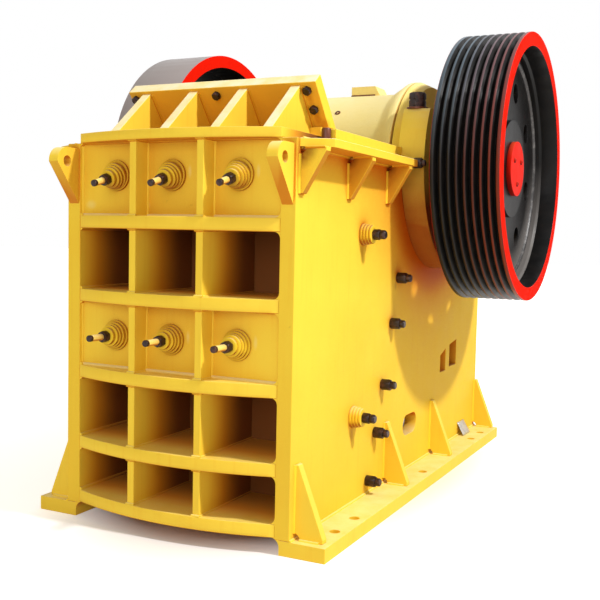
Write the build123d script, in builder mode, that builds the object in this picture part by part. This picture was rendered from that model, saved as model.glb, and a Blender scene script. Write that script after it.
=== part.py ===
from build123d import *
import os
from math import atan2, cos, degrees, hypot, radians, sin, sqrt, tan

# Jaw crusher with a single toggle, for ore and rock.
# Millimetres. X runs along the eccentric shaft, towards the grooved drive wheel.
# The ribbed front wall faces -Y, and Z is up.
# The origin is the middle of the foundation bolts, in the plane that the base stands on.
# Depths are measured back from the front edge of the side plates, heights up from the base.

# Frame
frame_width = 1500
frame_length = 3465
plate_t = 90
frame_top = 2200
base_out = 210
base_in = 20
base_t = 82
lip_height = 95
lip_start = 470
rear_height = 1400
rear_slope = 405

# Front wall: a deep plate behind five ribs that bow forward
wall_depth = 470
wall_t = 90
rib_t = 72
rib_tops = [1786, 1360, 911, 490, 163]
rib_bow = 110
flange_t = 56
divider_t = 44
divider_back = 12
panel_depth = 25
panel_t = 60
bays = 3

# Feed guard above the front wall
guard_t = 82
guard_half_width = 640
guard_foot_front = 603
guard_foot_height = 2320
guard_rise = 232
guard_lean = 39
guard_gusset_t = 60
guard_gusset_pitch = 341
guard_gusset_foot = 92
guard_gusset_drop = 14

# Lifting lugs at the front corners
lug_reach = 108
lug_radius = 80
lug_height = 2098
lug_foot = 1855
lug_bore = 62
lug_foot_drop = 20

# Shelves and gussets on the outside of the side plates
shelf_out = 160
shelf_t = 46
shelf_start = 30
shelf_chamfer = 88
shelf_end = 1376
shelf_gusset_depths = [30, 640, 1248]
shelf_gusset_height = 240
shelf_gusset_out = 154
base_gusset_front = 50
base_gusset_middle = [1320, 2250]
base_gusset_height = 405
base_gusset_out = 172
gusset_t = 50
gusset_tip = 22
weld_notch = 36

# Foundation bolts
anchor_out = 136
anchor_end = 280
anchor_inner = 550
anchor_bore = 60

# Jaws
die_t = 130
die_bottom = 200
tooth_pitch = 120
tooth_rise = 21
gape = 900
gape_height = 2150
nip_angle = 20.5
swing_die_t = 110
swing_die_length = 2050
cheek_t = 50
cheek_bottom = 150
cheek_rear_cover = 70
cheek_top_back = 160
cheek_top_along = 60
cheek_foot_along = 40
side_gap = 20
moving_gap = 8

# Shaft line
shaft_depth = 2216
shaft_height = 2200
throw = 15
journal_r = 200
main_r = 160
seat_r = 140
running_gap = 0.05
fit_gap = 0.02

# Bearing housings
housing_r = 630
housing_in = 20
drum_r = 720
drum_out = 160
dome_out = 23
dome_taper = 25
ear_height = 357
cover_r = 430
cover_t = 20

# Wheels
wheel_r = 923
rim_inner_r = 830
wheel_in = 1015
wheel_width = 451
web_in = 225
web_t = 50
rim_step = (36, 16)
hub_r = 340
hub_in = 85
hub_out = 30
groove_count = 8
groove_pitch = 52
groove_top = 40
groove_depth = 36
eye_count = 8
eye_r = 70
eye_circle_r = 560
eye_angle = -58
cap_r = 190
cap_t = 32

# Swing jaw (pitman)
barrel_r = 568
barrel_flat = 470
ring_r = 645
ring_t = 30
ring_gap = 12
barrel_lug = (100, 337, 291)
barrel_lug_top = 631
barrel_lug_half = 90
lug_sunk = 20
front_plate_t = 120
seat_step = 5
pitman_rib_count = 5
pitman_rib_t = 80
heel_depth = 260
rib_merge = (440, 238)
heel_half = 190
heel_root = 180
heel_gap = 10
bearing_out = 20

# Toggle and the beam behind it
toggle_t = 90
nose_r = 58
nose_gap = 6
toggle_half_width = 520
toggle_front_depth = 1500
toggle_front_height = 440
toggle_rear_height = 765
seat_gap = 0.3
beam_depth = 500
beam_height = 300
beam_wall = 90
beam_nose_gap = 20
beam_front_wall = 180
adjuster_r = 55
adjuster_out = 380
adjuster_length = 325
rear_wall_inset = 200
rear_wall_t = 80
rear_wall_bottom = 150
rear_rib_t = 60

# Tension rods below the toggle
rod_r = 32
rod_drop = 140
rod_offset = 300
spring_r = 85
spring_length = 240
washer_t = 25
rod_nut_r = 55
rod_nut_t = 50

# Spring bolts: radius, thickness and number of sides of each part, from the washer out
front_bolt = [(86, 24, 20), (74, 22, 20), (62, 22, 20), (48, 25, 20), (32, 42, 6)]
bolt_end_r = 16
upper_bolt_end = 82
lower_bolt_end = 108
side_bolt = [(66, 22, 20), (61, 22, 20), (57, 26, 20), (32, 44, 6), (27, 36, 10)]
bolt_places = [-410, -30, 400]
bolt_tilt = 15
upper_bolt_height = 2014
lower_bolt_height = 1102
side_bolts = [(890, 1714), (800, 615)]

# Openings in the side plates
slots = [(50, 180, 672, 800, 845), (272, 452, 690, 862, 890)]
window_depth = 1815
window_height = 390
window_length = 270
window_rise = 140

# Worked out from the values above
front_y = -frame_length / 2
rear_wall_depth = frame_length - rear_wall_inset
beam_front = rear_wall_depth - adjuster_length - beam_depth
toggle_rear_depth = beam_front - beam_nose_gap
rod_height = toggle_front_height - rod_drop
half_width = frame_width / 2
inner_x = half_width - plate_t
rib_radius = (inner_x**2 + rib_bow**2) / (2 * rib_bow)
wall_back = wall_depth + wall_t
die_face = wall_back + die_t
lip_top = frame_top + lip_height
flange_top = frame_top + flange_t
shaft_y = front_y + shaft_depth
eccentric_height = shaft_height - throw
wheel_out = wheel_in + wheel_width
web_face = wheel_in + web_in + web_t
hub_face = web_face + hub_out
pitman_half = inner_x - cheek_t - side_gap
ring_out = inner_x - housing_in - ring_gap
lean = radians(guard_lean)
nip = radians(nip_angle)


def at(depth, height):
    """A point of a side view, depth back from the front edge and height up."""
    return (front_y + depth, height)


def swing(along, behind):
    """A point of the swing jaw: along its face from the top, and behind that face."""
    depth = die_face + gape - along * sin(nip) + behind * cos(nip)
    return at(depth, gape_height - along * cos(nip) - behind * sin(nip))


def save(builder, name):
    """Label a finished piece and write it."""
    builder.part.label = name
    export_step(builder.part, f"parts/{name}.step")


os.makedirs("parts", exist_ok=True)

# Side plates: heavy plates with the seat of the bearing housing in their top edge
with BuildPart() as side_plate_right:
    with BuildSketch(Plane.YZ.offset(inner_x)) as outline:
        with BuildLine():
            Polyline(
                at(0, base_t),
                at(0, frame_top),
                at(lip_start, frame_top),
                at(lip_start, lip_top),
                at(shaft_depth, lip_top),
                at(frame_length - rear_slope, frame_top),
                at(frame_length, rear_height),
                at(frame_length, base_t),
                close=True,
            )
        make_face()
        with Locations(at(shaft_depth, shaft_height)):
            Circle(housing_r, mode=Mode.SUBTRACT)
        with Locations(at(window_depth, window_height)):
            SlotOverall(window_length, window_rise, mode=Mode.SUBTRACT)
        for start, end, bottom, front_top, rear_top in slots:
            with BuildLine():
                Polyline(
                    at(toggle_rear_depth + start, bottom),
                    at(toggle_rear_depth + end, bottom),
                    at(toggle_rear_depth + end, rear_top),
                    at(toggle_rear_depth + start, front_top),
                    close=True,
                )
            make_face(mode=Mode.SUBTRACT)
    extrude(amount=plate_t)
with BuildPart() as side_plate_left:
    mirror(side_plate_right.part, about=Plane.YZ)
save(side_plate_right, "side_plate_right")
save(side_plate_left, "side_plate_left")

# Lifting lugs: plates welded on the front edges of the side plates
for name, side in {"lifting_lug_right": 1, "lifting_lug_left": -1}.items():
    with BuildPart() as lifting_lug:
        with BuildSketch(Plane.YZ.offset(side * inner_x)):
            with BuildLine():
                Polyline(
                    at(0, lug_foot),
                    at(-lug_reach - lug_radius, lug_height - lug_foot_drop),
                    at(-lug_reach, lug_height + lug_radius),
                    at(0, lug_height + lug_radius),
                    close=True,
                )
            make_face()
            with Locations(at(-lug_reach, lug_height)):
                Circle(lug_radius)
                Circle(lug_bore / 2, mode=Mode.SUBTRACT)
        extrude(amount=side * plate_t)
    save(lifting_lug, name)

# Front wall plate: the deep plate that the fixed jaw lies against
with BuildPart() as front_wall_plate:
    with BuildSketch(Plane.YZ.offset(-inner_x)):
        with BuildLine():
            Polyline(
                at(wall_depth, base_t),
                at(wall_back, base_t),
                at(wall_back, frame_top),
                at(wall_depth, frame_top),
                close=True,
            )
        make_face()
    extrude(amount=2 * inner_x)
save(front_wall_plate, "front_wall_plate")


def bowed_plate(bottom, thickness, rear_depth, half):
    """A flat plate with a front edge that bows forward, as a closed outline seen from above."""
    with BuildPart() as plate:
        with BuildSketch(Plane.XY.offset(bottom)):
            with BuildLine():
                edge = ThreePointArc(
                    (-half, front_y), (0, front_y - rib_bow), (half, front_y)
                )
                Polyline(
                    edge @ 1,
                    (half, front_y + rear_depth),
                    (-half, front_y + rear_depth),
                    edge @ 0,
                )
            make_face()
        extrude(amount=thickness)
    return plate


# Five ribs across the front, and the flange on top of them
for number, top in enumerate(rib_tops, start=1):
    front_rib = bowed_plate(top - rib_t, rib_t, wall_depth, inner_x)
    save(front_rib, f"front_rib_{number}")
front_top_flange = bowed_plate(frame_top, flange_t, wall_back, inner_x)
save(front_top_flange, "front_top_flange")

# Bolt panels: shallow plates between the ribs that carry the spring bolts
row_tops = [frame_top] + [top - rib_t for top in rib_tops[:-1]]
has_panel = [True, False, True, False, False]
with BuildPart() as bolt_panels:
    for top, foot, closed in zip(row_tops, rib_tops, has_panel):
        if closed:
            with BuildSketch(Plane.YZ.offset(-inner_x)):
                with BuildLine():
                    Polyline(
                        at(panel_depth, foot),
                        at(panel_depth + panel_t, foot),
                        at(panel_depth + panel_t, top),
                        at(panel_depth, top),
                        close=True,
                    )
                make_face()
            extrude(amount=2 * inner_x)
save(bolt_panels, "bolt_panels")

# Dividers: upright plates that part each row into three bays
bay = 2 * inner_x / bays
divider_x = bay / 2
edge_fall = rib_radius - sqrt(rib_radius**2 - divider_x**2)
divider_front = edge_fall + divider_back - rib_bow
with BuildPart() as front_dividers:
    for side in (1, -1):
        for top, foot, closed in zip(row_tops, rib_tops, has_panel):
            rear = panel_depth if closed else wall_depth
            with BuildSketch(Plane.YZ.offset(side * divider_x - divider_t / 2)):
                with BuildLine():
                    Polyline(
                        at(divider_front, foot),
                        at(rear, foot),
                        at(rear, top),
                        at(divider_front, top),
                        close=True,
                    )
                make_face()
            extrude(amount=divider_t)
save(front_dividers, "front_dividers")

# Base flanges: thick plates under the side plates, with the foundation bolt holes
middle_depth = frame_length / 2
anchor_depths = [anchor_end, anchor_inner, middle_depth]
anchor_depths += [frame_length - anchor_inner, frame_length - anchor_end]
for name, side in {"base_flange_right": 1, "base_flange_left": -1}.items():
    with BuildPart() as base_flange:
        with BuildSketch(Plane.XY):
            width = base_out + plate_t + base_in
            with Locations((side * (half_width + base_out - width / 2), 0)):
                Rectangle(width, frame_length)
            with Locations([(side * (half_width + anchor_out), front_y + d) for d in anchor_depths]):
                Circle(anchor_bore / 2, mode=Mode.SUBTRACT)
        extrude(amount=base_t)
    save(base_flange, name)


def gusset(depth, wall, tip, height, foot_z, toward):
    """A three-cornered gusset with a weld notch at its inner corner, in a plane across X."""
    out = 1 if wall > 0 else -1
    with BuildSketch(Plane.XZ.offset(-(front_y + depth))) as profile:
        with BuildLine():
            Polyline(
                (wall, foot_z),
                (wall + out * tip, foot_z),
                (wall + out * tip, foot_z + toward * gusset_tip),
                (wall + out * gusset_tip, foot_z + toward * height),
                (wall, foot_z + toward * height),
                close=True,
            )
        make_face()
        with Locations((wall, foot_z)):
            Circle(weld_notch, mode=Mode.SUBTRACT)
    extrude(profile.sketch, amount=-gusset_t)


# Gussets between base and side plate, and under the shelf
base_gusset_depths = [base_gusset_front] + base_gusset_middle + [frame_length - gusset_t]
for name, side in {"right": 1, "left": -1}.items():
    with BuildPart() as base_gussets:
        for depth in base_gusset_depths:
            gusset(depth, side * half_width, base_gusset_out, base_gusset_height, base_t, 1)
    save(base_gussets, f"base_gussets_{name}")
    shelf_foot = frame_top - shelf_t
    with BuildPart() as shelf_gussets:
        for depth in shelf_gusset_depths:
            gusset(depth, side * half_width, shelf_gusset_out, shelf_gusset_height, shelf_foot, -1)
    save(shelf_gussets, f"shelf_gussets_{name}")

# Side shelves: flanges along the top edge, cut back at the front corner
for name, side in {"side_shelf_right": 1, "side_shelf_left": -1}.items():
    with BuildPart() as side_shelf:
        with BuildSketch(Plane.XY.offset(frame_top - shelf_t)):
            with BuildLine():
                Polyline(
                    (side * half_width, front_y + shelf_start),
                    (side * (half_width + shelf_out), front_y + shelf_start + shelf_chamfer),
                    (side * (half_width + shelf_out), front_y + shelf_end),
                    (side * half_width, front_y + shelf_end),
                    close=True,
                )
            make_face()
        extrude(amount=shelf_t)
    save(side_shelf, name)

# Feed guard: a thick plate that leans out over the front wall, with four gussets
guard_foot_back = guard_foot_front + guard_t / cos(lean)
with BuildPart() as feed_guard_plate:
    with BuildSketch(Plane.YZ.offset(-guard_half_width)):
        with BuildLine():
            Polyline(
                at(guard_foot_front, guard_foot_height),
                at(guard_foot_front - guard_rise * tan(lean), guard_foot_height + guard_rise),
                at(
                    guard_foot_front - guard_rise * tan(lean) + guard_t * cos(lean),
                    guard_foot_height + guard_rise + guard_t * sin(lean),
                ),
                at(guard_foot_back, guard_foot_height),
                close=True,
            )
        make_face()
    extrude(amount=2 * guard_half_width)
save(feed_guard_plate, "feed_guard_plate")
with BuildPart() as feed_guard_gussets:
    for step in (-1.5, -0.5, 0.5, 1.5):
        place = step * guard_gusset_pitch - guard_gusset_t / 2
        drop = guard_gusset_drop
        with BuildSketch(Plane.YZ.offset(place)):
            with BuildLine():
                Polyline(
                    at(guard_gusset_foot, flange_top),
                    at(
                        guard_foot_front - (guard_rise - drop) * tan(lean),
                        guard_foot_height + guard_rise - drop,
                    ),
                    at(guard_foot_front, guard_foot_height),
                    at(wall_back, guard_foot_height),
                    at(wall_back, flange_top),
                    close=True,
                )
            make_face()
        extrude(amount=guard_gusset_t)
save(feed_guard_gussets, "feed_guard_gussets")


def toothed(sketch_plane, half, back, face, length):
    """A jaw die seen end on: a plate with rounded teeth that run up and down around face."""
    teeth = int(2 * half // tooth_pitch)
    pitch = 2 * half / teeth
    with BuildPart() as die:
        with BuildSketch(sketch_plane):
            with BuildLine():
                Polyline((-half, face), (-half, back), (half, back), (half, face))
                for n in range(teeth):
                    left = half - n * pitch
                    ThreePointArc(
                        (left, face),
                        (left - pitch / 4, face + tooth_rise),
                        (left - pitch / 2, face),
                    )
                    ThreePointArc(
                        (left - pitch / 2, face),
                        (left - pitch * 3 / 4, face - tooth_rise),
                        (left - pitch, face),
                    )
            make_face()
        extrude(amount=length)
    return die


# Fixed jaw die: stands against the front wall plate
fixed_half = inner_x - cheek_t - seat_gap
fixed_plane = Plane(origin=(0, 0, die_bottom), x_dir=(1, 0, 0), z_dir=(0, 0, 1))
fixed_jaw_plate = toothed(
    fixed_plane,
    fixed_half,
    front_y + wall_back,
    front_y + die_face - tooth_rise,
    guard_foot_height - die_bottom,
)
save(fixed_jaw_plate, "fixed_jaw_plate")

# Cheek plates line the side plates between the jaws
for name, side in {"cheek_plate_right": 1, "cheek_plate_left": -1}.items():
    with BuildPart() as cheek_plate:
        with BuildSketch(Plane.YZ.offset(inner_x - cheek_t if side > 0 else -inner_x)):
            with BuildLine():
                Polyline(
                    at(wall_back, cheek_bottom),
                    at(wall_back, lip_top),
                    at(die_face + gape - cheek_top_back, lip_top),
                    swing(cheek_top_along, cheek_rear_cover),
                    swing(swing_die_length - cheek_foot_along, cheek_rear_cover),
                    close=True,
                )
            make_face()
            with Locations((shaft_y, shaft_height)):
                Circle(ring_r + 2 * throw + moving_gap, mode=Mode.SUBTRACT)
        extrude(amount=cheek_t)
    save(cheek_plate, name)

# Bearing housings: the lower half sits in the side plate, the cap is bolted on top of it
housing_face = inner_x - housing_in
drum_face = half_width + drum_out
cap_width = 2.2 * drum_r
for side_name, side in {"right": 1, "left": -1}.items():
    with BuildPart() as bearing_housing:
        for start, end, radius in (
            (housing_face, half_width, housing_r - seat_gap),
            (half_width, drum_face, drum_r),
            (drum_face, drum_face + cover_t, cover_r),
        ):
            near = side * start
            with BuildSketch(Plane.YZ.offset(near)):
                with Locations((shaft_y, shaft_height)):
                    Circle(radius)
                    Circle(main_r + running_gap, mode=Mode.SUBTRACT)
                with Locations((shaft_y, shaft_height + drum_r)):
                    Rectangle(cap_width, 2 * drum_r, mode=Mode.SUBTRACT)
            extrude(amount=side * (end - start))
    save(bearing_housing, f"bearing_housing_{side_name}")
    with BuildPart() as bearing_cap:
        with BuildSketch(Plane.YZ.offset(side * housing_face)):
            with Locations((shaft_y, shaft_height)):
                Circle(housing_r - seat_gap)
        extrude(amount=side * (half_width - dome_out - housing_face), taper=dome_taper)
        for start, end, radius in (
            (half_width - dome_out, drum_face, drum_r),
            (drum_face, drum_face + cover_t, cover_r),
        ):
            with BuildSketch(Plane.YZ.offset(side * start)):
                with Locations((shaft_y, shaft_height)):
                    Circle(radius)
                with Locations((shaft_y, shaft_height + ear_height / 2)):
                    Rectangle(cap_width, ear_height, mode=Mode.INTERSECT)
            extrude(amount=side * (end - start))
        with BuildSketch(Plane.YZ.offset(side * housing_face)):
            with Locations((shaft_y, shaft_height)):
                Circle(main_r + running_gap)
            with Locations((shaft_y, shaft_height - drum_r)):
                Rectangle(cap_width, 2 * drum_r)
        extrude(amount=side * (drum_face + cover_t - housing_face), mode=Mode.SUBTRACT)
        with BuildSketch(Plane.YZ.offset(side * (half_width - dome_out))) as lip_room:
            with Locations((shaft_y, shaft_height + lip_height / 2)):
                Rectangle(cap_width, lip_height + 2 * seat_gap)
            with Locations((shaft_y, shaft_height)):
                Circle(housing_r - seat_gap, mode=Mode.SUBTRACT)
        extrude(amount=side * dome_out, mode=Mode.SUBTRACT)
    save(bearing_cap, f"bearing_cap_{side_name}")

bearing_end = drum_face + cover_t + bearing_out

# Eccentric shaft: two main journals, the eccentric journal between them and the wheel seats
with BuildPart() as eccentric_shaft:
    for start, end, radius, height in (
        (-hub_face, hub_face, seat_r, shaft_height),
        (-bearing_end, bearing_end, main_r, shaft_height),
        (-ring_out, ring_out, journal_r, eccentric_height),
    ):
        with BuildSketch(Plane.YZ.offset(start)):
            with Locations((shaft_y, height)):
                Circle(radius)
        extrude(amount=end - start)
save(eccentric_shaft, "eccentric_shaft")


def wheel(grooves):
    """A cast wheel on the shaft's +X end: rim, offset web with a ring of eyes, and hub."""
    with BuildPart() as body:
        with BuildSketch(Plane.XY.offset(shaft_height)):
            with BuildLine():
                points = [(wheel_in, shaft_y + rim_inner_r), (wheel_in, shaft_y + wheel_r)]
                first = (wheel_in + wheel_out - (grooves - 1) * groove_pitch) / 2
                for n in range(grooves):
                    centre = first + n * groove_pitch
                    points += [
                        (centre - groove_top / 2, shaft_y + wheel_r),
                        (centre, shaft_y + wheel_r - groove_depth),
                        (centre + groove_top / 2, shaft_y + wheel_r),
                    ]
                points += [
                    (wheel_out, shaft_y + wheel_r),
                    (wheel_out, shaft_y + rim_inner_r),
                    (web_face + rim_step[0] + rim_step[1], shaft_y + rim_inner_r),
                    (web_face + rim_step[0], shaft_y + rim_inner_r - rim_step[1]),
                    (web_face, shaft_y + rim_inner_r - rim_step[1]),
                    (web_face, shaft_y + hub_r),
                    (hub_face, shaft_y + hub_r),
                    (hub_face, shaft_y + seat_r + fit_gap),
                    (wheel_in + hub_in, shaft_y + seat_r + fit_gap),
                    (wheel_in + hub_in, shaft_y + hub_r),
                    (web_face - web_t, shaft_y + hub_r),
                    (web_face - web_t, shaft_y + rim_inner_r),
                ]
                Polyline(*points, close=True)
            make_face()
        revolve(axis=Axis((0, shaft_y, shaft_height), (1, 0, 0)))
        with BuildSketch(Plane.YZ.offset(web_face - 2 * web_t)):
            with Locations((shaft_y, shaft_height)):
                with PolarLocations(eye_circle_r, eye_count, start_angle=eye_angle):
                    Circle(eye_r)
        extrude(amount=3 * web_t, mode=Mode.SUBTRACT)
    return body


drive_sheave = wheel(groove_count)
save(drive_sheave, "drive_sheave")
plain_wheel = wheel(0)
with BuildPart() as flywheel:
    mirror(plain_wheel.part, about=Plane.YZ)
save(flywheel, "flywheel")

# Red end caps that hold the wheels on the shaft
with BuildPart() as shaft_caps:
    for side in (1, -1):
        with BuildSketch(Plane.YZ.offset(side * hub_face)):
            with Locations((shaft_y, shaft_height)):
                Circle(cap_r)
        extrude(amount=side * cap_t)
save(shaft_caps, "shaft_caps")

# Swing jaw: barrel on the eccentric, front plate, ribs behind it and the toggle heel
cradle_r = nose_r + throw + nose_gap
nose_front = at(toggle_front_depth, toggle_front_height)
nose_rear = at(toggle_rear_depth, toggle_rear_height)
cradle = (nose_front[0], nose_front[1] - throw)
with BuildPart() as swing_jaw:
    with BuildSketch(Plane.XY.offset(eccentric_height)):
        with BuildLine():
            points = [
                (-ring_out, shaft_y + journal_r),
                (-ring_out, shaft_y + ring_r),
                (-ring_out + ring_t, shaft_y + ring_r),
                (-barrel_flat, shaft_y + barrel_r),
                (barrel_flat, shaft_y + barrel_r),
                (ring_out - ring_t, shaft_y + ring_r),
                (ring_out, shaft_y + ring_r),
                (ring_out, shaft_y + journal_r),
            ]
            Polyline(*points, close=True)
        make_face()
    revolve(axis=Axis((0, shaft_y, eccentric_height), (1, 0, 0)))
    with BuildSketch(Plane.XZ.offset(-shaft_y - barrel_lug_half)):
        with BuildLine():
            Polyline(
                (barrel_lug[0], eccentric_height + barrel_r - lug_sunk),
                (barrel_lug[1], eccentric_height + barrel_r - lug_sunk),
                (barrel_lug[2], eccentric_height + barrel_lug_top),
                (barrel_lug[0], eccentric_height + barrel_lug_top),
                close=True,
            )
        make_face()
    extrude(amount=2 * barrel_lug_half)
    with BuildSketch(Plane.YZ.offset(-pitman_half)):
        with BuildLine():
            Polyline(
                swing(0, swing_die_t),
                swing(swing_die_length, swing_die_t),
                swing(swing_die_length, swing_die_t + front_plate_t),
                swing(0, swing_die_t + front_plate_t),
                close=True,
            )
        make_face()
    extrude(amount=2 * pitman_half)
    rib_pitch = (2 * pitman_half - pitman_rib_t) / (pitman_rib_count - 1)
    heel_rear = toggle_front_depth - heel_gap
    for n in range(pitman_rib_count):
        with BuildSketch(Plane.YZ.offset(-pitman_half + n * rib_pitch)):
            with BuildLine():
                Polyline(
                    swing(0, swing_die_t),
                    swing(swing_die_length, swing_die_t),
                    swing(swing_die_length, swing_die_t + heel_depth),
                    at(heel_rear, toggle_front_height - heel_half),
                    at(heel_rear, toggle_front_height + heel_half),
                    (shaft_y + rib_merge[0], eccentric_height - rib_merge[1]),
                    (shaft_y, eccentric_height),
                    close=True,
                )
            make_face()
        extrude(amount=pitman_rib_t)
    with BuildSketch(Plane.YZ.offset(-pitman_half)):
        with BuildLine():
            Polyline(
                swing(swing_die_length, swing_die_t),
                swing(swing_die_length, swing_die_t + heel_depth),
                at(heel_rear, toggle_front_height - heel_half),
                at(heel_rear, toggle_front_height + heel_half),
                at(heel_rear - heel_root, toggle_front_height + heel_half),
                close=True,
            )
        make_face()
    extrude(amount=2 * pitman_half)
    with BuildSketch(Plane.YZ.offset(-ring_out)):
        with BuildLine():
            Polyline(
                swing(-seat_step, swing_die_t),
                swing(-seat_step, -swing_die_t),
                swing(swing_die_length + seat_step, -swing_die_t),
                swing(swing_die_length + seat_step, swing_die_t),
                close=True,
            )
        make_face()
        with Locations((shaft_y, eccentric_height)):
            Circle(journal_r + running_gap)
        with Locations(cradle):
            Circle(cradle_r)
    extrude(amount=2 * ring_out, mode=Mode.SUBTRACT)
save(swing_jaw, "swing_jaw")

# Swing jaw die: bolted on the front of the swing jaw
swing_top = swing(0, 0)
swing_plane = Plane(
    origin=(0, swing_top[0], swing_top[1]),
    x_dir=(1, 0, 0),
    z_dir=(0, -sin(nip), -cos(nip)),
)
swing_jaw_plate = toothed(swing_plane, pitman_half, -swing_die_t, 0, swing_die_length)
save(swing_jaw_plate, "swing_jaw_plate")

# Toggle plate between the swing jaw and the beam
run = hypot(nose_rear[0] - nose_front[0], nose_rear[1] - nose_front[1])
slope = degrees(atan2(nose_rear[1] - nose_front[1], nose_rear[0] - nose_front[0]))
with BuildPart() as toggle_plate:
    with BuildSketch(Plane.YZ.offset(-toggle_half_width)):
        middle = ((nose_front[0] + nose_rear[0]) / 2, (nose_front[1] + nose_rear[1]) / 2)
        with Locations(Location(middle, slope)):
            Rectangle(run, toggle_t)
        with Locations(nose_front, nose_rear):
            Circle(nose_r)
    extrude(amount=2 * toggle_half_width)
save(toggle_plate, "toggle_plate")

# Toggle beam across the frame, seen through the slots in the side plates
hollow_depth = beam_depth - beam_front_wall - beam_wall / 2
with BuildPart() as toggle_beam:
    with BuildSketch(Plane.YZ.offset(-inner_x)):
        with Locations(at(beam_front + beam_depth / 2, toggle_rear_height)):
            Rectangle(beam_depth, beam_height)
        with Locations(at(beam_front + beam_front_wall + hollow_depth / 2, toggle_rear_height)):
            Rectangle(hollow_depth, beam_height - beam_wall, mode=Mode.SUBTRACT)
        with Locations(nose_rear):
            Circle(nose_r + seat_gap, mode=Mode.SUBTRACT)
    extrude(amount=2 * inner_x)
save(toggle_beam, "toggle_beam")

# Adjusting rams between the toggle beam and the rear wall
with BuildPart() as toggle_adjusters:
    with BuildSketch(Plane.XZ.offset(-(front_y + beam_front + beam_depth))):
        with Locations((adjuster_out, toggle_rear_height), (-adjuster_out, toggle_rear_height)):
            Circle(adjuster_r)
    extrude(amount=-adjuster_length)
save(toggle_adjusters, "toggle_adjusters")

# Rear wall: a cross plate with two ribs behind it
with BuildPart() as rear_wall:
    with BuildSketch(Plane.YZ.offset(-inner_x)):
        with BuildLine():
            Polyline(
                at(rear_wall_depth, rear_wall_bottom),
                at(frame_length, rear_wall_bottom),
                at(frame_length, rear_wall_bottom + rear_rib_t),
                at(rear_wall_depth + rear_wall_t, rear_wall_bottom + rear_rib_t),
                at(rear_wall_depth + rear_wall_t, rear_height - rear_rib_t),
                at(frame_length, rear_height - rear_rib_t),
                at(frame_length, rear_height),
                at(rear_wall_depth, rear_height),
                close=True,
            )
        make_face()
    extrude(amount=2 * inner_x)
    with BuildSketch(Plane.XZ.offset(-(front_y + rear_wall_depth))):
        with Locations((rod_offset, rod_height + throw), (-rod_offset, rod_height + throw)):
            Circle(rod_r + throw + nose_gap)
    extrude(amount=-rear_wall_t, mode=Mode.SUBTRACT)
save(rear_wall, "rear_wall")

# Tension rods hold the swing jaw against the toggle, with a spring behind the rear wall
spring_start = front_y + rear_wall_depth + rear_wall_t
rod_start = front_y + heel_rear
washer_start = spring_start + spring_length + throw + nose_gap
with BuildPart() as tension_springs:
    with BuildSketch(Plane.XZ.offset(-spring_start)):
        with Locations((rod_offset, rod_height + throw), (-rod_offset, rod_height + throw)):
            Circle(spring_r)
            Circle(rod_r + throw + nose_gap, mode=Mode.SUBTRACT)
    extrude(amount=-spring_length)
save(tension_springs, "tension_springs")
with BuildPart() as tension_rods:
    for start, length, radius in (
        (rod_start, washer_start - rod_start + washer_t + rod_nut_t + rod_r, rod_r),
        (washer_start, washer_t, spring_r),
    ):
        with BuildSketch(Plane.XZ.offset(-start)):
            with Locations((rod_offset, rod_height), (-rod_offset, rod_height)):
                Circle(radius)
        extrude(amount=-length)
    with BuildSketch(Plane.XZ.offset(-washer_start - washer_t)):
        with Locations((rod_offset, rod_height), (-rod_offset, rod_height)):
            RegularPolygon(rod_nut_r, 6)
    extrude(amount=-rod_nut_t)
save(tension_rods, "tension_rods")


def spring_bolt(origin, out, along, stack):
    """A spring bolt: a flat washer facing out, then the discs, nut and end of its stack, which lie along."""
    with BuildSketch(Plane(origin=origin, z_dir=out)) as washer:
        RegularPolygon(stack[0][0], stack[0][2])
    reach = stack[0][1]
    extrude(washer.sketch, amount=reach)
    lift = stack[1][0] * tan(radians(Vector(out).get_angle(Vector(along))))
    for radius, thickness, side_count in stack[1:]:
        start = Vector(*origin) + Vector(*along) * lift
        with BuildSketch(Plane(origin=start, z_dir=along)) as disc:
            RegularPolygon(radius, side_count)
        reach += thickness
        extrude(disc.sketch, amount=reach - lift)
        lift = reach


tilt = radians(bolt_tilt)
for name, height, along, end in (
    ("front_spring_bolts_upper", upper_bolt_height, (0, -cos(tilt), -sin(tilt)), upper_bolt_end),
    ("front_spring_bolts_lower", lower_bolt_height, (0, -1, 0), lower_bolt_end),
):
    with BuildPart() as front_spring_bolts:
        for x in bolt_places:
            panel = (x, front_y + panel_depth, height)
            spring_bolt(panel, (0, -1, 0), along, [*front_bolt, (bolt_end_r, end, 10)])
    save(front_spring_bolts, name)
with BuildPart() as side_spring_bolts:
    for side in (1, -1):
        for depth, height in side_bolts:
            out = (side, 0, 0)
            spring_bolt((side * half_width, front_y + depth, height), out, out, side_bolt)
save(side_spring_bolts, "side_spring_bolts")
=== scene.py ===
import math

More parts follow.
